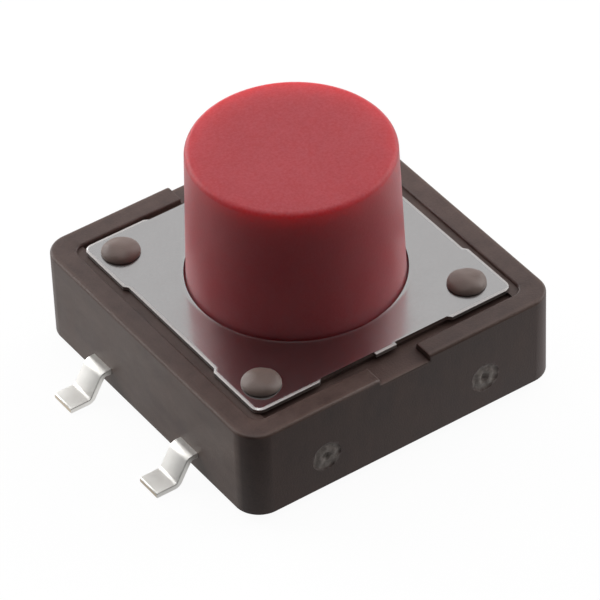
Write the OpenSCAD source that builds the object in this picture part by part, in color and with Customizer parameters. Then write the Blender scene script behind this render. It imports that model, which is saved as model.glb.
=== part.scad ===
// Square surface-mount push button switch with a round button.
// The four feet stand on z = 0, and the origin is the middle of their seating plane.
// X runs along the two terminal strips, and Z is the way in which the button springs back.

/* [Housing] */
// Side of the square housing
body_side = 12; // [10:0.5:14]
// Height of the housing, from its underside to the top of its rim
body_h = 3.3; // [3.15:0.05:4]
// Clear height between the board and the housing
standoff = 0.3; // [0.1:0.05:0.5]
// Radius of the four upright corners
body_corner_r = 0.9; // [0.5:0.1:1.4]
// Rounding of the upper outer edge
body_edge_r = 0.1; // [0.04:0.02:0.2]
// Thickness of the rim that stands round the cover plate
rim_w = 0.78; // [0.6:0.02:0.9]
// Depth of the groove between the rim and the seat of the cover plate, and of the notches in the rim
groove_h = 0.22; // [0.16:0.02:0.4]
// Radius in the corners of the groove
groove_corner_r = 0.4; // [0.2:0.05:0.8]
// Width of the seat that carries the cover plate, between the groove and the flange's guide
seat_w = 0.65; // [0.5:0.05:0.8]
// How far the seat stays inside the set-back sides of the cover plate
seat_inset = 0.2; // [0.1:0.05:0.3]
// Width of the step between the flange's guide and the well of the contact disc
ledge_w = 0.37; // [0.3:0.01:0.5]
// Width of the notch in the middle of two sides of the rim
notch_w = 1.9; // [1:0.1:2.6]
// Diameter of the dished gate marks on the front face
gate_d = 1.1; // [0.9:0.05:1.3]
// Depth of that dish
gate_depth = 0.07; // [0.04:0.01:0.1]
// Outer diameter of the ring of the broken gate, in the middle of the dish
gate_ring_d = 0.62; // [0.5:0.02:0.8]
// Diameter of the pit inside that ring
gate_pit_d = 0.3; // [0.2:0.02:0.4]
// Depth of the pit
gate_pit_depth = 0.14; // [0.1:0.02:0.3]
// Distance between the two gate marks
gate_spacing = 6.2; // [4:0.1:7]
// Height of the gate marks above the underside of the housing
gate_h = 1.28; // [0.8:0.02:2]
// Diameter of the holes that the mould's support pins leave under the strips
pin_d = 0.7; // [0.4:0.05:0.8]
// Distance from the middle of such a hole to the side of the housing
pin_inset = 2; // [1:0.1:2.5]

/* [Stakes] */
// Distance from the middle of a stake to the two nearest sides of the cover plate
stake_inset = 0.98; // [0.92:0.01:1.05]
// Diameter of the stakes inside the cover plate
stake_d = 0.9; // [0.7:0.05:1]
// Diameter of the head that is melted over the cover plate
head_d = 1.3; // [1.15:0.05:1.5]
// Height of that head
head_h = 0.28; // [0.2:0.02:0.4]
// Upright part of the head's edge, under its rounding
head_lip = 0.04; // [0.02:0.01:0.1]

/* [Cover plate] */
// Thickness of the sheet
plate_t = 0.15; // [0.1:0.01:0.2]
// Height of the plate's upper face above the rim
plate_proud = 0.08; // [0:0.01:0.12]
// Radius of the plate's corners
plate_corner_r = 0.45; // [0.2:0.05:0.7]
// Length of the set-back stretch in the middle of each side
waist_l = 4.9; // [3:0.1:5.5]
// How far that stretch is set back
waist_inset = 0.12; // [0.05:0.01:0.2]
// Width of the stub that is left where the plate was cut from its strip
stub_w = 0.8; // [0.5:0.05:1.2]

/* [Button] */
// Height of the whole switch above the board
total_h = 8.7; // [6.5:0.1:12]
// Slope of the button's side against the upright, in degrees
button_draft = 1.9; // [0:0.1:3.5]
// Rounding of the button's top edge
button_edge_r = 0.2; // [0.1:0.05:0.6]
// Travel of the button
travel = 0.3; // [0.15:0.05:0.4]
// How far the square flange reaches under the plate, past the button's hole
flange_lap = 0.25; // [0.15:0.05:0.4]
// Thickness of the flange
flange_t = 0.7; // [0.5:0.05:0.8]
// Radius of the flange's corners, which keeps them clear of the stakes
flange_corner_r = 1.95; // [1.8:0.05:2.2]
// Diameter of the nub that presses the contact disc
nub_d = 2.2; // [1.6:0.1:2.6]
// Rounding of the nub's lower edge
nub_edge_r = 0.28; // [0.1:0.02:0.5]
// Wall left round the hollow core of the button
button_wall = 1.1; // [0.8:0.05:1.3]
// Thickness left over that core, under the button's top
button_roof = 1.2; // [0.8:0.1:2]

/* [Contact disc] */
// Height of the whole disc
disc_rise = 0.5; // [0.4:0.02:0.55]
// Thickness of the disc
disc_t = 0.08; // [0.05:0.01:0.1]

/* [Terminals] */
// Distance between the two terminal strips
lead_pitch = 5; // [4.8:0.05:5.2]
// Width of the strips and their legs
lead_w = 1; // [0.7:0.05:1.2]
// Thickness of the strips
lead_t = 0.2; // [0.15:0.01:0.25]
// Height of the strips' underside above the underside of the housing
lead_h = 0.56; // [0.45:0.02:0.65]
// Level stretch of a leg outside the housing
shoulder_l = 0.15; // [0.05:0.05:0.3]
// Slope of the leg against the board, in degrees
lead_angle = 60; // [50:1:80]
// Inside radius of the two bends in a leg
bend_r = 0.15; // [0.1:0.01:0.2]
// Length of the flat foot, from the lower bend to the tip
foot_l = 0.68; // [0.4:0.02:1.2]
// Rounding of a foot's upper edge at its tip
tip_r = 0.06; // [0.02:0.01:0.1]
// Diameter of the flat top of an outer contact pad
pad_d = 0.9; // [0.7:0.05:1]
// Height of an outer contact pad above its strip
pad_h = 0.2; // [0.15:0.01:0.25]
// How far the middle of an outer contact pad lies inside the disc's rim
pad_inset = 0.22; // [0.1:0.02:0.3]
// Diameter of the flat top of the centre contact pad
centre_pad_d = 1.2; // [0.9:0.05:1.4]

/* [Clearances] */
// Gap between the rim and the corner lobes of the cover plate
plate_gap = 0.24; // [0.16:0.01:0.35]
// Gap round the button in the cover plate
button_gap = 0.07; // [0.03:0.01:0.12]
// Gap round the flange in its guide
flange_gap = 0.12; // [0.05:0.01:0.2]
// Play of the flange under the plate
flange_play = 0.02; // [0.01:0.01:0.05]
// Gap round a stake in the cover plate
stake_gap = 0.05; // [0.02:0.01:0.1]
// Gap round the contact disc in its well
disc_gap = 0.15; // [0.1:0.01:0.25]
// Gap between the nub and the contact disc
nub_gap = 0.02; // [0.01:0.01:0.04]
// Room under the flange when the button is pressed
press_gap = 0.1; // [0.05:0.01:0.2]
// Height of the contact pads above the floor of the well
pad_proud = 0.06; // [0.03:0.01:0.1]

/* [Hidden] */
$fn = 64;

// Cutters reach this far past what they cut
past = 0.5;
// Slope of a pressed pad's side: how far its foot stands out for its height
step_run = 0.75;
// Pieces of a straight line in each bend of a leg
bend_steps = 10;

// Levels, from the board up
lead_z = standoff + lead_h;
strip_z = lead_z + lead_t;
disc_z = strip_z + pad_h;
floor_z = disc_z - pad_proud;
disc_top_z = disc_z + disc_rise;
centre_pad_z = disc_top_z - disc_t - travel;
rim_z = standoff + body_h;
plate_top_z = rim_z + plate_proud;
plate_z = plate_top_z - plate_t;
flange_top_z = plate_z - flange_play;
flange_z = flange_top_z - flange_t;
ledge_z = flange_z - travel - press_gap;
groove_z = rim_z - groove_h;

// Sides of the nested squares, from the rim inwards
groove_side = body_side - 2 * rim_w;
plate_side = groove_side - 2 * plate_gap;
stake_spacing = plate_side - 2 * stake_inset;
seat_side = plate_side - 2 * waist_inset - 2 * seat_inset;
guide_side = seat_side - 2 * seat_w;
guide_corner_r = flange_corner_r + flange_gap;
flange_side = guide_side - 2 * flange_gap;

// Button: radius of its side at any height, and centre of its edge rounding
hole_r = flange_side / 2 - flange_lap;
function side_r(z) = hole_r - button_gap - (z - plate_z) * tan(button_draft);
edge_z = total_h - button_edge_r;
edge_x = side_r(edge_z) - button_edge_r / cos(button_draft);
core_r = side_r(plate_top_z) - button_wall;
core_z = total_h - button_roof;

// Contact disc: radius and half angle of the arch of its inner surface
well_d = guide_side - 2 * ledge_w;
disc_r = well_d / 2 - disc_gap;
arch_h = disc_rise - disc_t;
arch_r = (disc_r * disc_r + arch_h * arch_h) / (2 * arch_h);
arch_angle = asin(disc_r / arch_r);

// Legs: length of the sloping web, the centres of its two bends, and the tip of the foot
bend_w = 2 * bend_r + lead_t;
web_l = (lead_z - bend_w * (1 - cos(lead_angle))) / sin(lead_angle);
shoulder_x = body_side / 2 + shoulder_l;
upper_bend = [shoulder_x, lead_z - bend_r];
lower_bend = upper_bend + web_l * [cos(lead_angle), -sin(lead_angle)]
    + bend_w * [sin(lead_angle), cos(lead_angle)];
tip_x = lower_bend.x + foot_l;
function arc(centre, r, from, to) = [
    for (i = [0 : bend_steps])
        let (a = from + (to - from) * i / bend_steps) centre + r * [cos(a), sin(a)]
];

// Outer pads and rests lie under the rim of the disc, this far from the middle
pad_x = disc_r - pad_inset;

// Square with round corners, centred
module rounded_square(side, r) {
    square([side, side - 2 * r], center = true);
    square([side - 2 * r, side], center = true);
    for (x = [-1, 1], y = [-1, 1])
        translate([x, y] * (side / 2 - r)) circle(r);
}

// Square block with round upright corners, standing on z = 0
module rounded_prism(side, r, h) {
    linear_extrude(h) rounded_square(side, r);
}

// Half outline of a block whose top edge is rounded, to be turned or drawn out
module edge_profile(half, h, edge_r) {
    square([half - edge_r, h]);
    square([half, h - edge_r]);
    translate([half - edge_r, h - edge_r]) circle(edge_r);
}

// Square block with round upright corners and a rounded top edge
module soft_block(side, r, h, edge_r) {
    for (turn = [0 : 90 : 270]) rotate(turn) {
        translate([side / 2 - r, side / 2 - r]) rotate_extrude() edge_profile(r, h, edge_r);
        rotate([90, 0, 90]) linear_extrude(side - 2 * r, center = true) edge_profile(side / 2, h, edge_r);
    }
}

// Repeats its children at the four stakes
module at_stakes() {
    for (x = [-1, 1], y = [-1, 1])
        translate([x, y] * stake_spacing / 2) children();
}

// Stake with its melted head, which is flat in the middle and round at its edge
module stake() {
    translate([0, 0, groove_z]) cylinder(h = plate_top_z + head_lip - groove_z, d = stake_d);
    translate([0, 0, plate_top_z]) rotate_extrude() intersection() {
        edge_profile(head_d / 2, head_h, head_h - head_lip);
        square([head_d, head_h]);
    }
}

// Broken-off moulding gate: a ring round a pit, left standing in a shallow dish
module gate_cut() {
    rotate([-90, 0, 0]) translate([0, 0, -past]) {
        difference() {
            cylinder(h = past + gate_depth, d = gate_d);
            translate([0, 0, past]) cylinder(h = past, d = gate_ring_d);
        }
        cylinder(h = past + gate_pit_depth, d = gate_pit_d);
    }
}

// Well of the contact disc, with the guide of the flange above it
module button_well() {
    translate([0, 0, floor_z]) cylinder(h = rim_z, d = well_d);
    translate([0, 0, ledge_z]) rounded_prism(guide_side, guide_corner_r, rim_z);
}

// Two low rests that carry the disc between the outer pads
module disc_rests() {
    for (y = [-1, 1])
        translate([0, y * pad_x, floor_z - past]) cylinder(h = past + pad_proud, d = pad_d);
}

// Holes left by the pins that hold the strips in the mould
module pin_holes() {
    for (x = [-1, 1], y = [-1, 1])
        translate([x * (body_side / 2 - pin_inset), y * lead_pitch / 2, standoff - past])
            cylinder(h = past + lead_h, d = pin_d);
}

// Recess round the seat of the cover plate, open to the outside through the two notches
module recess() {
    difference() {
        translate([0, 0, groove_z]) linear_extrude(body_h) {
            rounded_square(groove_side, groove_corner_r);
            square([notch_w, body_side + 2 * past], center = true);
        }
        rounded_prism(seat_side, groove_corner_r, plate_z);
    }
}

// Moulded housing, made round the two terminals
module housing() {
    color([0.33, 0.27, 0.25]) difference() {
        union() {
            difference() {
                translate([0, 0, standoff]) soft_block(body_side, body_corner_r, body_h, body_edge_r);
                recess();
                button_well();
                for (x = [-1, 1])
                    translate([x * gate_spacing / 2, -body_side / 2, standoff + gate_h]) gate_cut();
                pin_holes();
            }
            disc_rests();
            at_stakes() stake();
        }
        terminals();
    }
}

// Outline of the cover plate: corner lobes, a set-back waist on each side, and two cut-off stubs
module plate_outline() {
    lobe = plate_side / 2;
    waist = lobe - waist_inset;
    difference() {
        rounded_square(plate_side, plate_corner_r);
        for (turn = [0 : 90 : 270]) rotate(turn)
            polygon([[waist, waist_l / 2], [waist, -waist_l / 2],
                     [lobe + past, -waist_l / 2 - waist_inset - past],
                     [lobe + past, waist_l / 2 + waist_inset + past]]);
    }
    square([stub_w, plate_side], center = true);
}

// Stamped cover plate
module cover_plate() {
    color([0.72, 0.72, 0.72]) translate([0, 0, plate_z]) linear_extrude(plate_t) difference() {
        plate_outline();
        circle(hole_r);
        at_stakes() circle(stake_d / 2 + stake_gap);
    }
}

// Half outline of the button above its flange, with a drafted side
module button_profile() {
    polygon([
        [0, flange_z],
        [side_r(flange_z), flange_z],
        [edge_x + button_edge_r * cos(button_draft), edge_z + button_edge_r * sin(button_draft)],
        [edge_x, edge_z],
        [edge_x, total_h],
        [0, total_h]
    ]);
    translate([edge_x, edge_z]) circle(button_edge_r);
}

// Moulded button with its flange, its hollow core and the nub that presses the disc
module button() {
    nub_z = disc_top_z + nub_gap;
    color([0.72, 0.16, 0.16]) {
        difference() {
            union() {
                rotate_extrude() button_profile();
                translate([0, 0, flange_z]) rounded_prism(flange_side, flange_corner_r, flange_t);
            }
            translate([0, 0, flange_z - past]) cylinder(h = core_z - flange_z + past, r = core_r);
        }
        translate([0, 0, core_z + past]) mirror([0, 0, 1]) rotate_extrude()
            edge_profile(nub_d / 2, core_z + past - nub_z, nub_edge_r);
    }
}

// Snap disc: a shallow arch of spring steel
module contact_disc() {
    color([0.8, 0.78, 0.72]) translate([0, 0, disc_z + arch_h - arch_r]) rotate_extrude() intersection() {
        difference() {
            circle(arch_r + disc_t, $fn = 360);
            circle(arch_r, $fn = 360);
        }
        polygon([[0, 0], 2 * arch_r * [sin(arch_angle), cos(arch_angle)], [0, 2 * arch_r]]);
    }
}

// Side view of half a strip, from the middle of the housing to the tip of its foot
module leg_profile() {
    polygon(concat(
        [[0, strip_z]],
        arc(upper_bend, bend_r + lead_t, 90, 90 - lead_angle),
        arc(lower_bend, bend_r, 270 - lead_angle, 270),
        arc([tip_x - tip_r, lead_t - tip_r], tip_r, 90, 0),
        [[tip_x, 0]],
        arc(lower_bend, bend_r + lead_t, 270, 270 - lead_angle),
        arc(upper_bend, bend_r, 90 - lead_angle, 90),
        [[0, lead_z]]
    ));
}

// Strip with a gull-wing leg at each end
module leg_pair() {
    for (side = [0, 1]) mirror([side, 0, 0])
        rotate([90, 0, 0]) linear_extrude(lead_w, center = true) leg_profile();
}

// Raised contact pad, pressed up from the sheet
module pressed_pad(d, h) {
    foot_r = d / 2 + step_run * h;
    rotate_extrude()
        polygon([[0, lead_z], [foot_r, lead_z], [foot_r, strip_z], [d / 2, strip_z + h], [0, strip_z + h]]);
}

// The hollow under a pressed pad, which the moulding fills
module pad_hollow(d, h) {
    top_r = d / 2 - lead_t / 2;
    foot_r = top_r + step_run * h;
    rotate_extrude() polygon([[0, lead_z - past], [foot_r, lead_z - past], [foot_r, lead_z],
                              [top_r, lead_z + h], [0, lead_z + h]]);
}

// Flat arm of a terminal, from its plan
module arm() {
    translate([0, 0, lead_z]) linear_extrude(lead_t) children();
}

// Terminal whose arm carries the centre pad
module centre_terminal() {
    rise = centre_pad_z - strip_z;
    arm_w = centre_pad_d + 2 * step_run * rise;
    color([0.8, 0.78, 0.74]) difference() {
        union() {
            translate([0, -lead_pitch / 2, 0]) leg_pair();
            arm() {
                translate([-arm_w / 2, -lead_pitch / 2]) square([arm_w, lead_pitch / 2]);
                circle(d = arm_w);
            }
            pressed_pad(centre_pad_d, rise);
        }
        pad_hollow(centre_pad_d, rise);
    }
}

// Terminal with two arms, whose pads carry the rim of the disc
module outer_terminal() {
    arm_w = pad_d + 2 * step_run * pad_h;
    color([0.8, 0.78, 0.74]) difference() {
        union() {
            translate([0, lead_pitch / 2, 0]) leg_pair();
            for (x = [-1, 1]) translate([x * pad_x, 0, 0]) {
                arm() {
                    translate([-arm_w / 2, 0]) square([arm_w, lead_pitch / 2]);
                    circle(d = arm_w);
                }
                pressed_pad(pad_d, pad_h);
            }
        }
        for (x = [-1, 1]) translate([x * pad_x, 0, 0]) pad_hollow(pad_d, pad_h);
    }
}

// Both terminals, as the mould closes round them
module terminals() {
    centre_terminal();
    outer_terminal();
}

housing();
cover_plate();
button();
contact_disc();
centre_terminal();
outer_terminal();
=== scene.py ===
"""Looks of a square surface-mount push button switch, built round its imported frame."""

import math

import bmesh
import bpy
from mathutils import Matrix, Quaternion, Vector, noise


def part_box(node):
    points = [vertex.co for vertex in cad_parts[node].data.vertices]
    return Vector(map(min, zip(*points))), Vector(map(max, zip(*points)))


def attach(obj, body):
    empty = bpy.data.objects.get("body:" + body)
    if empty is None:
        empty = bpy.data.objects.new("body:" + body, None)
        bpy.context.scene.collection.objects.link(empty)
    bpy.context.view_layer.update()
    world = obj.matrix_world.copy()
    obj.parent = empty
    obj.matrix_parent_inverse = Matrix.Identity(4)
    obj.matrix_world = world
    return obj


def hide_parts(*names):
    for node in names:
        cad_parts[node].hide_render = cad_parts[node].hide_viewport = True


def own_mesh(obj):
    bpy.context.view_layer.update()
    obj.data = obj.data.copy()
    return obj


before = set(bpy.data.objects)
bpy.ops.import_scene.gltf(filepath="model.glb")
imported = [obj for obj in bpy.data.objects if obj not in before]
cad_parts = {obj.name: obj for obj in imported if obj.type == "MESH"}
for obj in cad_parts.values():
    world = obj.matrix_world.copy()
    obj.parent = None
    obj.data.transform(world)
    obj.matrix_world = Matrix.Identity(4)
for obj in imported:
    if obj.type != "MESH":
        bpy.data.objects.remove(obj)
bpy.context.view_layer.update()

# Terminals: two strips of tin-plated brass, stamped, bent and laid in the mould of the housing.
# Each leaves the housing as a gull-wing leg at both ends. The plating softens the sheared edges
# of the legs, and the cut tip of a foot shows the bare brass.
MM = 0.001
MERGE_GAP = 0.0005
FLAT_ANGLE = math.radians(0.5)
SHARP_ANGLE = math.radians(35)
SQUARE_ANGLE = math.radians(60)
BARE_LEG_X = 5.9
LEG_EDGE_R = 0.035
RAMP_LENGTH = 10
TIN_LIGHT = (0.93, 0.92, 0.89, 1)
TIN_DARK = (0.82, 0.80, 0.76, 1)
BRASS = (0.60, 0.44, 0.25, 1)


class Wire:
    """An output of a shader node. Arithmetic on it adds Math nodes."""

    def __init__(self, finish, socket):
        self.finish = finish
        self.socket = socket

    def maths(self, operation, *values):
        return self.finish.add("Math", {"operation": operation}, dict(enumerate(values)))

    def unsigned(self):
        return self.maths("ABSOLUTE", self)

    def __add__(self, other):
        return self.maths("ADD", self, other)

    def __sub__(self, other):
        return self.maths("SUBTRACT", self, other)

    def __rsub__(self, other):
        return self.maths("SUBTRACT", other, self)

    def __mul__(self, other):
        return self.maths("MULTIPLY", self, other)

    __radd__ = __add__
    __rmul__ = __mul__


class Finish:
    """A material, built up by adding nodes to its tree."""

    def __init__(self, name, **constants):
        self.material = bpy.data.materials.new(name)
        self.material.use_nodes = True
        self.tree = self.material.node_tree
        self.shader = self.tree.nodes["Principled BSDF"]
        for socket, value in constants.items():
            self.shader.inputs[socket.replace("_", " ")].default_value = value

    def add(self, kind, settings=None, inputs=None, output=0):
        """Adds a node: first its settings, then the values or wires of its inputs."""
        node = self.tree.nodes.new("ShaderNode" + kind)
        for name, value in (settings or {}).items():
            if name == "stops":
                for stop, (place, shade) in zip(node.color_ramp.elements, value):
                    stop.position = place
                    stop.color = (shade, shade, shade, 1)
            else:
                setattr(node, name, value)
        for name, value in (inputs or {}).items():
            self.join(value, node.inputs[name])
        return Wire(self, node.outputs[output])

    def join(self, value, socket):
        """Links a wire to a socket, or sets the socket to a plain value."""
        if isinstance(value, Wire):
            self.tree.links.new(value.socket, socket)
        else:
            socket.default_value = value

    def feed(self, **wires):
        """Feeds inputs of the shader, with _ for the space in a name."""
        for name, wire in wires.items():
            self.join(wire, self.shader.inputs[name.replace("_", " ")])

    def place(self, stretch=(1, 1, 1)):
        """The point on the object in millimetres, stretched along the axes."""
        coordinates = self.add("TexCoord", output="Object")
        scale = [axis / MM for axis in stretch]
        return self.add("Mapping", {}, {"Vector": coordinates, "Scale": scale})

    def cloud(self, place, per_mm, detail=2.0, roughness=0.5):
        """Noise from 0 to 1 about so many times a millimetre."""
        inputs = {"Vector": place, "Scale": per_mm, "Detail": detail, "Roughness": roughness}
        return self.add("TexNoise", {}, inputs)

    def step(self, value, low, high):
        """0 up to low, 1 from high on, and a ramp between them."""
        return self.add("ValToRGB", {"stops": [(low, 0), (high, 1)]}, {"Fac": value})

    def past(self, length, low, high):
        """The same for millimetres, which a ramp reads as shares of its length."""
        share = 1 / RAMP_LENGTH
        return self.step(length * share, low * share, high * share)

    def part(self, wire, n):
        """One number of a point or direction: 0 for x, 1 for y and 2 for z."""
        return self.add("SeparateXYZ", {}, {0: wire}, output=n)

    def facing(self, n):
        """How squarely the surface faces along x, y or z, either way."""
        along = self.part(self.add("TexCoord", output="Normal"), n)
        return along.unsigned()

    def mix(self, share, first, second):
        """The first colour where share is 0, the second where it is 1."""
        inputs = {0: share, 6: first, 7: second}
        return self.add("Mix", {"data_type": "RGBA"}, inputs, output=2)

    def bump(self, height, distance):
        """A bumpy surface normal, for relief of so many millimetres."""
        inputs = {"Height": height, "Distance": distance * MM, "Strength": 1.0}
        return self.add("Bump", {}, inputs)


def node_copy(node):
    """A merged copy of a CAD node in millimetres, with each flat face in one piece."""
    bm = bmesh.new()
    bm.from_mesh(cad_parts[node].data)
    bmesh.ops.scale(bm, vec=(1 / MM,) * 3, verts=bm.verts)
    bmesh.ops.remove_doubles(bm, verts=bm.verts, dist=MERGE_GAP)
    bmesh.ops.dissolve_limit(bm, angle_limit=FLAT_ANGLE, verts=bm.verts, edges=bm.edges)
    return bm


def make_piece(name, bm, body, finish, slot, *nodes):
    """Makes a mesh in millimetres a smooth piece on a body, in the place of CAD nodes."""
    bmesh.ops.scale(bm, vec=(MM,) * 3, verts=bm.verts)
    for face in bm.faces:
        face.smooth = True
    mesh = bpy.data.meshes.new(name)
    bm.to_mesh(mesh)
    bm.free()
    mesh.set_sharp_from_angle(angle=SHARP_ANGLE)
    mesh.materials.append(finish.material)
    piece = bpy.data.objects.new(name, mesh)
    bpy.context.scene.collection.objects.link(piece)
    shading = piece.modifiers.new("even shading", "WEIGHTED_NORMAL")
    shading.keep_sharp = True
    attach(piece, body)
    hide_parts(*nodes)
    return piece


def tin_plating():
    """Satin tin with a faint cloud and rolling lines, and brass at the cut tips."""
    tin = Finish("tin_plating", Metallic=1.0)
    place = tin.place()
    cloud = tin.cloud(place, 1.5, detail=3.0)
    lines = tin.cloud(tin.place((0.6, 9, 9)), 2.0)
    cut = tin.step(tin.facing(0), 0.93, 0.99)
    shade = tin.mix(cloud, TIN_LIGHT, TIN_DARK)
    tin.feed(
        Base_Color=tin.mix(cut * 0.6, shade, BRASS),
        Roughness=0.36 + 0.12 * cloud + 0.06 * lines,
        Normal=tin.bump(lines * 0.4 + cloud * 0.6, 0.004),
    )
    return tin


tin = tin_plating()
for strip in ("centre_terminal", "outer_terminal"):
    bm = node_copy(strip)
    bare = [e for e in bm.edges if all(abs(v.co.x) > BARE_LEG_X for v in e.verts)]
    square = [e for e in bare if e.calc_face_angle(0) > SQUARE_ANGLE]
    bmesh.ops.bevel(
        bm, geom=square, offset=LEG_EDGE_R, segments=3, profile=0.5, affect="EDGES", material=-1
    )
    make_piece(strip + "_plated", bm, "switch_base", tin, "plated_strip", strip)

# Housing: brown glass-filled nylon, moulded in one piece round the strips. A rim and a groove
# surround the seat of the plate, two sides of the rim have a notch, the front shows two broken
# gates, and four stakes end in heads that are melted over the plate.
CORNER_STEPS = 24
plate_low, plate_high = (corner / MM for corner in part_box("cover_plate"))
housing_low, housing_high = (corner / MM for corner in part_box("housing"))
body_half = housing_high.x
BODY_CORNER_R = 0.9
TOP_EDGE_R = 0.1
LOW_EDGE_R = 0.02
INNER_EDGE_R = 0.08
rim_z = plate_high.z - 0.08
groove_half = body_half - 0.78
GROOVE_CORNER_R = 0.4
GROOVE_H = 0.11
SHELF_W = 0.05
seat_half = plate_high.x - 0.2
guide_half = plate_high.x - 0.97
GUIDE_CORNER_R = 2.07
ledge_z = plate_low.z - 1.12
WELL_R = 3.64
FLOOR_Z = 1.2
NOTCH_HALF = 0.95
NOTCH_H = 0.22
NOTCH_EDGE_R = 0.07
# Cutters reach past what they cut, and stay a hair off the faces beside them
OVERCUT = 0.1
CUTTER_H = 1
HAIR = 0.001
stake_x = plate_high.x - 0.98
STAKE_R = 0.45
STAKE_ROOT = 0.05
HEAD_R = 0.65
HEAD_H = 0.29
HEAD_LIP = 0.03
HEAD_FLATNESS = 0.95
HEAD_SHIFT = Vector((-0.09, 0.06, 0))
HEAD_UNEVEN = 0.05
GATE_X = 3.1
GATE_Z = 1.54
GATE_PROFILE = (
    (0.56, 0.3), (0.55, 0.01), (0.52, -0.01), (0.48, -0.03), (0.43, -0.04), (0.36, -0.03),
    (0.30, -0.012), (0.24, -0.008), (0.17, -0.02), (0.12, -0.07), (0.07, -0.11),
)
GATE_UNEVEN = 0.045
UNEVEN_SEED = 3
PIN_X = 4.0
PIN_Y = 2.5
PIN_R = 0.35
PIN_TOP_Z = 0.96
NYLON = (0.050, 0.026, 0.021, 1)
NYLON_PALE = (0.092, 0.054, 0.044, 1)
NYLON_EDGE_HIGHLIGHT = (0.128, 0.078, 0.061, 1)
NYLON_SIDE_SHEEN = (0.21, 0.155, 0.130, 1)
NYLON_TORN = (0.34, 0.300, 0.270, 1)
NYLON_MELTED_SHEEN = (0.17, 0.122, 0.105, 1)


def ring(bm, half, corner_r, z):
    """Adds the points of a rounded square, which is a circle when both sizes are the same."""
    half_step = math.pi / (4 * CORNER_STEPS)
    made = bmesh.ops.create_circle(
        bm,
        segments=4 * CORNER_STEPS,
        radius=corner_r / math.cos(half_step),
        matrix=Matrix.Rotation(half_step, 4, "Z"),
    )["verts"]
    for v in made:
        v.co.x += math.copysign(half - corner_r, v.co.x)
        v.co.y += math.copysign(half - corner_r, v.co.y)
        v.co.z = z
    return made


def loft(bm, rows):
    """Joins rounded squares of half side, corner radius and height into a closed skin."""
    loops = [ring(bm, *row) for row in rows]
    for first, second in zip(loops, loops[1:]):
        for n in range(len(first)):
            bm.faces.new((first[n - 1], first[n], second[n], second[n - 1]))
    for cap in (loops[0], loops[-1]):
        bm.faces.new(cap)
    return [v for loop in loops for v in loop]


def rounded(half, corner_r, z, edge_r, start, end, steps=6):
    """Rows round an edge, from one angle to another, about a centre at half and z."""
    rows = []
    for n in range(steps + 1):
        angle = math.radians(start + (end - start) * n / steps)
        out = edge_r * math.cos(angle)
        rows.append((half + out, corner_r + out, z + edge_r * math.sin(angle)))
    return rows


def circle_rows(*pairs):
    """Rows of plain circles from pairs of radius and height."""
    return [(radius, radius, z) for radius, z in pairs]


def four_places(x, y):
    """The four points at minus and plus x and y."""
    return [(side * x, end * y) for side in (-1, 1) for end in (-1, 1)]


def cut_away(bm, cutter):
    """Takes the volume of one mesh out of the other, and gives the mesh that is left."""
    made = []
    for source in (bm, cutter):
        bmesh.ops.recalc_face_normals(source, faces=source.faces)
        mesh = bpy.data.meshes.new("cut")
        source.to_mesh(mesh)
        source.free()
        made.append(bpy.data.objects.new("cut", mesh))
        bpy.context.scene.collection.objects.link(made[-1])
    cut = made[0].modifiers.new("cut", "BOOLEAN")
    cut.operation = "DIFFERENCE"
    cut.solver = "EXACT"
    cut.object = made[1]
    shape = made[0].evaluated_get(bpy.context.evaluated_depsgraph_get())
    left = bmesh.new()
    left.from_mesh(shape.to_mesh())
    for part in made:
        bpy.data.meshes.remove(part.data)
    return left


def housing_block():
    """The block with its rim, groove, seat, flange guide and well, as one skin."""
    bm = bmesh.new()
    low = housing_low.z
    loft(bm, [
        *rounded(body_half - LOW_EDGE_R, BODY_CORNER_R - LOW_EDGE_R, low + LOW_EDGE_R,
                 LOW_EDGE_R, -90, 0, 3),
        *rounded(body_half - TOP_EDGE_R, BODY_CORNER_R - TOP_EDGE_R, rim_z - TOP_EDGE_R,
                 TOP_EDGE_R, 0, 90),
        *rounded(groove_half + INNER_EDGE_R, GROOVE_CORNER_R + INNER_EDGE_R,
                 rim_z - INNER_EDGE_R, INNER_EDGE_R, 90, 180, 4),
        (groove_half, GROOVE_CORNER_R, rim_z - GROOVE_H),
        (seat_half, GROOVE_CORNER_R, rim_z - GROOVE_H),
        (seat_half, GROOVE_CORNER_R, plate_low.z),
        (guide_half, GUIDE_CORNER_R, plate_low.z),
        (guide_half, GUIDE_CORNER_R, ledge_z),
        (WELL_R, WELL_R, ledge_z),
        (WELL_R, WELL_R, FLOOR_Z),
    ])
    return bm


def slot_cutter(half, inner, outer, low):
    """Two slots, in front and behind, from an inner to an outer distance and open above."""
    bm = bmesh.new()
    for side in (-1, 1):
        size = Matrix.Diagonal((2 * half, outer - inner, CUTTER_H, 1))
        middle = (0, side * (inner + outer) / 2, low + CUTTER_H / 2)
        bmesh.ops.create_cube(bm, size=1, matrix=Matrix.Translation(middle) @ size)
    return bm


def soften_notches(bm):
    """Rounds the edges that the slots have left on the rim."""
    edges = [
        e for e in bm.edges
        if e.is_convex and e.calc_face_angle(0) > SQUARE_ANGLE
        and all(abs(v.co.x) < NOTCH_HALF + 0.01 and abs(v.co.y) > groove_half - 0.01
                and v.co.z > rim_z - NOTCH_H - 0.01 for v in e.verts)
    ]
    bmesh.ops.bevel(
        bm, geom=edges, offset=NOTCH_EDGE_R, segments=2, profile=0.5, affect="EDGES", material=-1
    )


def gate_cutter():
    """The hollow of the two broken gates: a dish with a ragged ring round a pit."""
    bm = bmesh.new()
    for side in (-1, 1):
        dish = loft(bm, circle_rows(*GATE_PROFILE))
        for v in dish:
            if v.co.z < 0:
                v.co += noise.noise_vector(v.co * 4 + Vector((side * 9, 0, 0))) * GATE_UNEVEN
        place = Matrix.Translation((side * GATE_X, -body_half, GATE_Z))
        bmesh.ops.transform(bm, matrix=place @ Matrix.Rotation(math.pi / 2, 4, "X"), verts=dish)
    return bm


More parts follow.
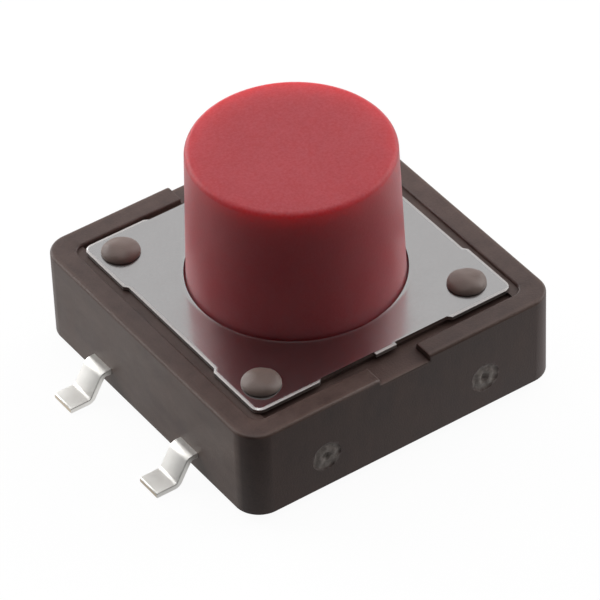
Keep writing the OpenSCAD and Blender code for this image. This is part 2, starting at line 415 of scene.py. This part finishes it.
def pin_cutter():
    """The four holes that the mould's support pins leave under the strips."""
    bm = bmesh.new()
    for x, y in four_places(PIN_X, PIN_Y):
        hole = loft(bm, circle_rows((PIN_R, 0), (PIN_R, PIN_TOP_Z)))
        bmesh.ops.translate(bm, vec=(x, y, 0), verts=hole)
    return bm


def add_stakes(bm):
    """Adds the stakes. Their heads are flattened domes, each uneven and pressed off centre."""
    top = plate_high.z
    dome = [math.radians(6 * n) for n in range(15)]
    head_rows = circle_rows(
        (HEAD_R - 0.02, top),
        *((HEAD_R * math.cos(a) ** HEAD_FLATNESS, top + HEAD_LIP + HEAD_H * math.sin(a))
          for a in dome),
    )
    for x, y in four_places(stake_x, stake_x):
        post = loft(bm, circle_rows(
            (STAKE_R, plate_low.z - STAKE_ROOT), (STAKE_R, top + STAKE_ROOT)
        ))
        head = loft(bm, head_rows)
        for v in head:
            uneven = HEAD_UNEVEN * (v.co.z - top) / HEAD_H
            v.co += HEAD_SHIFT + noise.noise_vector(v.co * 2 + Vector((x, y, 0))) * uneven
        bmesh.ops.translate(bm, vec=(x, y, 0), verts=post + head)


def moulded_nylon():
    """Satin brown nylon with faint flow clouds, pale where it is torn at the gates. A paler line
    along the outer top edges is a painted edge highlight, the two x sides carry a painted sheen in
    streaks, and the stake heads are paler, partly as melted nylon and partly as a painted sheen."""
    nylon = Finish("moulded_nylon", IOR=1.5)
    place = nylon.place()
    flow = nylon.cloud(nylon.place((1, 1, 0.5)), 1.1, detail=4.0, roughness=0.6)
    speckle = nylon.cloud(place, 16.0, detail=3.0)
    x, y, z = (nylon.part(place, n) for n in range(3))
    x = x.unsigned()
    to_gate = nylon.add("CombineXYZ", {}, {0: x - GATE_X, 1: y + body_half, 2: z - GATE_Z})
    distance = nylon.add("VectorMath", {"operation": "LENGTH"}, {0: to_gate}, output="Value")
    shred = nylon.cloud(place, 5.0, detail=4.0, roughness=0.7)
    torn = 1.0 - nylon.step(distance + 0.35 * shred, 0.60, 0.74)
    # Paler above the plate's top, on the stake heads: partly melted nylon, partly a painted sheen
    melted = nylon.past(z, plate_high.z, plate_high.z + 0.05)
    outer = x.maths("MAXIMUM", x, y.unsigned())
    # A paler band along the outer top edges and the notch floors' edges: a painted edge highlight
    edge_highlight = nylon.past(outer, body_half - 0.22, body_half - 0.06)
    notched = 1.0 - nylon.past(x, NOTCH_HALF - 0.05, NOTCH_HALF)
    edge_highlight = edge_highlight * nylon.past(z + NOTCH_H * notched, rim_z - 0.14, rim_z - 0.04)
    streaks = nylon.cloud(nylon.place((1, 0.6, 1.3)), 0.7, detail=5.0, roughness=0.65)
    # The two x sides paler and greyer in streaks: a painted sheen for the light they mirror
    side_sheen = nylon.past(x, body_half - 0.05, body_half - 0.01)
    side_sheen = side_sheen * (0.25 + 0.5 * nylon.step(streaks, 0.3, 0.7))
    shade = nylon.mix(nylon.step(flow * 0.7 + speckle * 0.3, 0.35, 0.68), NYLON, NYLON_PALE)
    shade = nylon.mix(side_sheen, shade, NYLON_SIDE_SHEEN)
    shade = nylon.mix(edge_highlight * (0.3 + 0.4 * speckle), shade, NYLON_EDGE_HIGHLIGHT)
    shade = nylon.mix(torn * (0.35 + 0.5 * nylon.step(shred, 0.35, 0.65)), shade, NYLON_TORN)
    shade = nylon.mix(melted, shade, NYLON_MELTED_SHEEN)
    nylon.feed(
        Base_Color=shade,
        Roughness=0.36 + 0.14 * flow + 0.10 * speckle,
        Normal=nylon.bump(speckle * 0.7 + flow * 0.3 + shred * torn, 0.009),
    )
    return nylon


deep_grooves = slot_cutter(
    groove_half - GROOVE_CORNER_R, seat_half + SHELF_W, groove_half - 2 * HAIR, rim_z - NOTCH_H
)
notches = slot_cutter(
    NOTCH_HALF, groove_half - OVERCUT, body_half + OVERCUT, rim_z - NOTCH_H - HAIR
)
bm = cut_away(housing_block(), deep_grooves)
bm = cut_away(bm, notches)
soften_notches(bm)
noise.seed_set(UNEVEN_SEED)
bm = cut_away(bm, gate_cutter())
bm = cut_away(bm, pin_cutter())
add_stakes(bm)
bmesh.ops.recalc_face_normals(bm, faces=bm.faces)
nylon = moulded_nylon()
make_piece("housing_moulding", bm, "switch_base", nylon, "housing_plastic", "housing")

# Contact disc: a shallow snap disc of spring steel that lies on the outer pads in the well. It is
# stamped and domed in one stroke, and its middle snaps down by the travel of the button.
SPRING_STEEL = (0.62, 0.60, 0.56, 1)
SPRING_STEEL_DARK = (0.50, 0.48, 0.44, 1)


def spring_sheet():
    """Bright rolled sheet with lines along Y."""
    spring = Finish("spring_sheet", Metallic=1.0)
    lines = spring.cloud(spring.place((8, 0.5, 8)), 3.0)
    spring.feed(
        Base_Color=spring.mix(lines, SPRING_STEEL, SPRING_STEEL_DARK),
        Roughness=0.18 + 0.15 * lines,
    )
    return spring


spring = spring_sheet()
disc = make_piece(
    "snap_disc", node_copy("contact_disc"), "switch_base", spring, "spring_steel", "contact_disc"
)
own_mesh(disc)

# Button: red plastic, moulded with a drafted round side, a soft top edge, a square flange that
# stays under the plate, and a hollow core round the nub that presses the disc.
button_low, button_high = (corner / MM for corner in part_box("button"))
flange_half = button_high.x
FLANGE_CORNER_R = 1.95
flange_z = plate_low.z - 0.72
flange_top = plate_low.z - 0.02
FLANGE_EDGE_R = 0.06
NECK_R = 3.57
DRAFT = math.radians(1.9)
BUTTON_EDGE_R = 0.2
NUB_R = 1.1
NUB_EDGE_R = 0.28
CORE_R = 2.47
core_z = button_high.z - 1.2
RED = (0.41, 0.022, 0.034, 1)
RED_PALE = (0.45, 0.050, 0.066, 1)
RED_SIDE_SHEEN = (0.43, 0.082, 0.094, 1)


def button_skin():
    """The button from its nub, through the core and the flange, to its flat top."""
    bm = bmesh.new()
    edge_z = button_high.z - BUTTON_EDGE_R
    edge_x = NECK_R - (edge_z - plate_low.z) * math.tan(DRAFT) - BUTTON_EDGE_R / math.cos(DRAFT)
    foot_r = NECK_R + (plate_low.z - flange_top) * math.tan(DRAFT)
    inner_half = flange_half - FLANGE_EDGE_R
    inner_r = FLANGE_CORNER_R - FLANGE_EDGE_R
    loft(bm, [
        *rounded(NUB_R - NUB_EDGE_R, NUB_R - NUB_EDGE_R, button_low.z + NUB_EDGE_R,
                 NUB_EDGE_R, -90, 0),
        *circle_rows((NUB_R, core_z), (CORE_R, core_z), (CORE_R, flange_z)),
        *rounded(inner_half, inner_r, flange_z + FLANGE_EDGE_R, FLANGE_EDGE_R, -90, 0, 3),
        *rounded(inner_half, inner_r, flange_top - FLANGE_EDGE_R, FLANGE_EDGE_R, 0, 90, 3),
        *circle_rows((foot_r, flange_top)),
        *rounded(edge_x, edge_x, edge_z, BUTTON_EDGE_R, math.degrees(DRAFT), 90, 12),
        *circle_rows((0.6 * edge_x, button_high.z)),
    ])
    bmesh.ops.recalc_face_normals(bm, faces=bm.faces)
    return bm


def moulded_red():
    """Satin red plastic with a fine speckle from the mould's matt face. The drafted side is
    painted paler and greyer in clouds, a painted sheen."""
    red = Finish("moulded_red", IOR=1.45, Subsurface_Weight=0.9, Subsurface_Scale=3.0 * MM,
                 Sheen_Weight=0.12, Sheen_Roughness=0.4)
    red.shader.inputs["Subsurface Radius"].default_value = (1.0, 0.12, 0.10)
    place = red.place()
    cloud = red.cloud(place, 0.7, detail=3.0)
    speckle = red.cloud(place, 11.0, detail=3.0, roughness=0.6)
    # The side, paler and greyer in clouds: a painted sheen
    side = 1.0 - red.step(red.facing(2), 0.1, 0.8)
    shade = red.mix(red.step(speckle * 0.75 + cloud * 0.25, 0.36, 0.64), RED, RED_PALE)
    red.feed(
        Base_Color=red.mix(side * (0.4 + 0.5 * cloud), shade, RED_SIDE_SHEEN),
        Roughness=0.36 + 0.12 * speckle + 0.08 * cloud,
        Normal=red.bump(speckle, 0.005),
    )
    return red


red = moulded_red()
make_piece("button_moulding", button_skin(), "push_button", red, "button_plastic", "button")

# Cover plate: thin stainless sheet, blanked with four corner lobes, a set-back waist on each side
# and the stubs of its carrier strip. Its upper edges are drawn over, and the stakes hold it down.
plate_half = plate_high.x
PLATE_CORNER_R = 0.33
WAIST_HALF = 2.45
WAIST_INSET = 0.12
WAIST_RUN = 0.14
STUB_HALF = 0.4
HOLE_R = 3.64
STAKE_HOLE_R = 0.5
ROLL_W = 0.12
ROLL_H = 0.022
BURR_H = 0.012
STEEL = (0.61, 0.60, 0.60, 1)
STEEL_DARK = (0.51, 0.50, 0.50, 1)
STEEL_SHEARED = (0.40, 0.375, 0.36, 1)


def plate_side(stubbed):
    """Points up the right-hand side of the plate and round its upper corner."""
    low_end = [(plate_half, -WAIST_HALF - WAIST_RUN), (plate_half - WAIST_INSET, -WAIST_HALF)]
    stub = [(plate_half - WAIST_INSET, -STUB_HALF), (plate_half, -STUB_HALF)]
    points = low_end + stub * stubbed
    points += [(x, -y) for x, y in reversed(points)]
    centre = plate_half - PLATE_CORNER_R
    for n in range(9):
        angle = math.radians(90 * n / 8)
        points.append((centre + PLATE_CORNER_R * math.cos(angle),
                       centre + PLATE_CORNER_R * math.sin(angle)))
    return points


def plate_blank():
    """The flat blank with its holes and thickness, drawn-over lobes and a burred button hole."""
    bm = bmesh.new()
    outline = []
    for turn in range(4):
        corner = Matrix.Rotation(math.radians(90 * turn), 4, "Z")
        outline += [corner @ Vector((x, y, plate_low.z)) for x, y in plate_side(turn % 2 == 1)]
    verts = [bm.verts.new(point) for point in outline]
    for first, second in zip(verts, verts[1:] + verts[:1]):
        bm.edges.new((first, second))
    ring(bm, HOLE_R, HOLE_R, plate_low.z)
    for x, y in four_places(stake_x, stake_x):
        hole = bmesh.ops.create_circle(bm, segments=32, radius=STAKE_HOLE_R)["verts"]
        bmesh.ops.translate(bm, vec=(x, y, plate_low.z), verts=hole)
    bmesh.ops.triangle_fill(bm, use_beauty=True, edges=bm.edges[:])
    raised = bmesh.ops.extrude_face_region(bm, geom=bm.faces[:])["geom"]
    top = [f for f in raised if isinstance(f, bmesh.types.BMFace)]
    rise = plate_high.z - plate_low.z - ROLL_H
    bmesh.ops.translate(
        bm, vec=(0, 0, rise), verts=[v for v in raised if isinstance(v, bmesh.types.BMVert)]
    )
    bmesh.ops.recalc_face_normals(bm, faces=bm.faces)
    # Four insets climb round the drawn edge, and the fifth starts the flat inside it
    for drop in (7, 5, 3, 1, 0):
        bmesh.ops.inset_region(
            bm, faces=top, use_boundary=True, use_even_offset=True,
            thickness=ROLL_W / 4, depth=ROLL_H * drop / 16,
        )
    # The front and back waists are sheared flat, and the button's hole has its burr instead
    for v in bm.verts:
        x, y = abs(v.co.x), abs(v.co.y)
        drawn = x > plate_half - WAIST_INSET - ROLL_W or y > plate_half - WAIST_INSET + 0.001
        if v.co.z > plate_low.z + 0.01 and not drawn:
            inward = (v.co.xy.length - HOLE_R) / ROLL_W
            v.co.z = plate_high.z + BURR_H * max(0, 1 - inward) ** 2 * (inward > -0.01)
    return bm


def stainless_sheet():
    """Bright rolled stainless steel that mirrors softly, with a faint cloud and fine lines. The
    drawn edges are matt, and the waists' sheared faces are dark."""
    steel = Finish("stainless_sheet", Metallic=1.0)
    place = steel.place()
    cloud = steel.cloud(place, 0.8, detail=3.0)
    lines = steel.cloud(steel.place((0.5, 12, 12)), 2.0, detail=3.0)
    x, y = (steel.part(place, n).unsigned() for n in range(2))
    waist = 1.0 - steel.past(y, WAIST_HALF - 0.05, WAIST_HALF + 0.1)
    band = (plate_half - 0.11, plate_half - 0.05)
    ends = steel.past(y, *band)
    sides = steel.past(x + WAIST_INSET * waist, *band)
    drawn = ends.maths("MAXIMUM", ends, sides)
    sheared = (1.0 - steel.step(steel.facing(2), 0.3, 0.7)) * (1.0 - drawn)
    speckle = steel.cloud(place, 9.0, detail=3.0)
    shade = steel.mix(cloud * 0.6 + speckle * 0.4, STEEL, STEEL_DARK)
    steel.feed(
        Base_Color=steel.mix(sheared + 0.7 * drawn, shade, STEEL_SHEARED),
        Roughness=0.13 + 0.07 * cloud + 0.07 * lines + 0.25 * drawn,
        Normal=steel.bump(lines + speckle * 0.5, 0.0007),
    )
    return steel


steel = stainless_sheet()
make_piece("cover_plate_blank", plate_blank(), "switch_base", steel, "cover_steel", "cover_plate")

# Stage: a white table under soft lamps overhead, behind and at both sides. The camera looks down
# from the front left, as a close picture of a small part does.
CAMERA_TARGET = Vector((-1.031, -1.705, 4.0)) * MM
CAMERA_AZIMUTH = math.radians(33.510)
CAMERA_ELEVATION = math.radians(40.812)
CAMERA_ROLL = math.radians(-2.323)
CAMERA_DISTANCE = 153.885 * MM
CAMERA_LENS = 289.77
FLOOR_HALF = 0.6
TABLE_GLOW = 0.95
TABLE_SHADE = (0.06, 0.06, 0.06, 1)
TABLE_DIM = (0.30, 0.30, 0.30, 1)
MIRRORED_FRONT = (0.20, 0.20, 0.20, 1)
MIRRORED_BACK = (0.88, 0.88, 0.88, 1)
DIM_REACH = 14
DIM_PER_MM = 0.02
AMBIENT = 0.05
LAMP_DISTANCE = 0.35
# Name, azimuth from +Y towards +X, elevation, width and height in metres, and brightness
LAMPS = (
    ("lamp_behind", 33.5, 41, 0.62, 0.42, 0.64),
    ("lamp_low", 33.5, 12, 0.62, 0.16, 0.86),
    ("lamp_top", 0, 89, 0.30, 0.30, 1.30),
    ("lamp_left", 325, 25, 0.14, 0.30, 3.0),
    ("lamp_left_far", 350, 18, 0.24, 0.24, 2.68),
    ("lamp_right", 100, 25, 0.30, 0.30, 2.75),
)


def white_table():
    """A floor that looks white with a faint shadow. What the switch mirrors of it is bright behind
    and dim in front, and it throws up little light, as the dark front in the picture asks."""
    bm = bmesh.new()
    bmesh.ops.create_grid(bm, x_segments=1, y_segments=1, size=FLOOR_HALF)
    mesh = bpy.data.meshes.new("table")
    bm.to_mesh(mesh)
    bm.free()
    table = bpy.data.objects.new("table", mesh)
    bpy.context.scene.collection.objects.link(table)
    paper = Finish("white_paper", Roughness=0.9)
    seen = paper.add("LightPath", output="Is Camera Ray")
    mirrored = paper.add("LightPath", output="Is Glossy Ray")
    glow = paper.add("Emission", {}, {"Strength": TABLE_GLOW})
    faint = paper.add("BsdfDiffuse", {}, {"Color": TABLE_SHADE})
    white = paper.add("AddShader", {}, {0: glow, 1: faint})
    ahead = Vector((math.sin(CAMERA_AZIMUTH), math.cos(CAMERA_AZIMUTH), 0))
    along = paper.add(
        "VectorMath", {"operation": "DOT_PRODUCT"}, {0: paper.place(), 1: ahead}, output="Value"
    )
    # What the switch mirrors of the table is a painted glow, bright behind and dim in front, in
    # place of lamps lighting it
    rise = paper.step(0.5 + along * DIM_PER_MM, 0.5 - DIM_REACH * DIM_PER_MM, 0.5)
    pale = paper.add("Emission", {}, {"Color": paper.mix(rise, MIRRORED_FRONT, MIRRORED_BACK)})
    dim = paper.add("BsdfDiffuse", {}, {"Color": TABLE_DIM})
    shown = paper.add("MixShader", {}, {0: mirrored, 1: dim, 2: pale})
    shown = paper.add("MixShader", {}, {0: seen, 1: shown, 2: white})
    output = paper.tree.nodes["Material Output"]
    paper.join(shown, output.inputs["Surface"])
    table.data.materials.append(paper.material)


def surroundings():
    """White where the camera sees past the table, and dim elsewhere."""
    world = bpy.data.worlds.new("studio")
    bpy.context.scene.world = world
    world.use_nodes = True
    tree = world.node_tree
    path = tree.nodes.new("ShaderNodeLightPath")
    level = tree.nodes.new("ShaderNodeMapRange")
    level.inputs["To Min"].default_value = AMBIENT
    tree.links.new(path.outputs["Is Camera Ray"], level.inputs["Value"])
    tree.links.new(level.outputs["Result"], tree.nodes["Background"].inputs["Strength"])
    tree.nodes["Background"].inputs["Color"].default_value = (1, 1, 1, 1)


def lamp(name, azimuth, elevation, width, height, brightness):
    """A soft box that faces the switch, as bright as a white sheet at 1."""
    data = bpy.data.lights.new(name, "AREA")
    data.shape = "RECTANGLE"
    data.size = width
    data.size_y = height
    data.energy = brightness * math.pi * width * height
    box = bpy.data.objects.new(name, data)
    bpy.context.scene.collection.objects.link(box)
    azimuth, elevation = math.radians(azimuth), math.radians(elevation)
    outward = Vector((
        math.sin(azimuth) * math.cos(elevation),
        math.cos(azimuth) * math.cos(elevation),
        math.sin(elevation),
    ))
    box.location = outward * LAMP_DISTANCE
    box.rotation_euler = outward.to_track_quat("Z", "Y").to_euler()


def camera():
    """The camera at the picture's place, turned a little about its own axis."""
    data = bpy.data.cameras.new("camera")
    data.lens = CAMERA_LENS
    data.clip_start = 0.01
    view = bpy.data.objects.new("camera", data)
    bpy.context.scene.collection.objects.link(view)
    forward = Vector((
        math.sin(CAMERA_AZIMUTH) * math.cos(CAMERA_ELEVATION),
        math.cos(CAMERA_AZIMUTH) * math.cos(CAMERA_ELEVATION),
        -math.sin(CAMERA_ELEVATION),
    ))
    view.location = CAMERA_TARGET - forward * CAMERA_DISTANCE
    level = forward.to_track_quat("-Z", "Y")
    view.rotation_euler = (level @ Quaternion((0, 0, 1), CAMERA_ROLL)).to_euler()
    bpy.context.scene.camera = view


white_table()
surroundings()
for row in LAMPS:
    lamp(*row)
camera()
bpy.context.scene.view_settings.view_transform = "Standard"
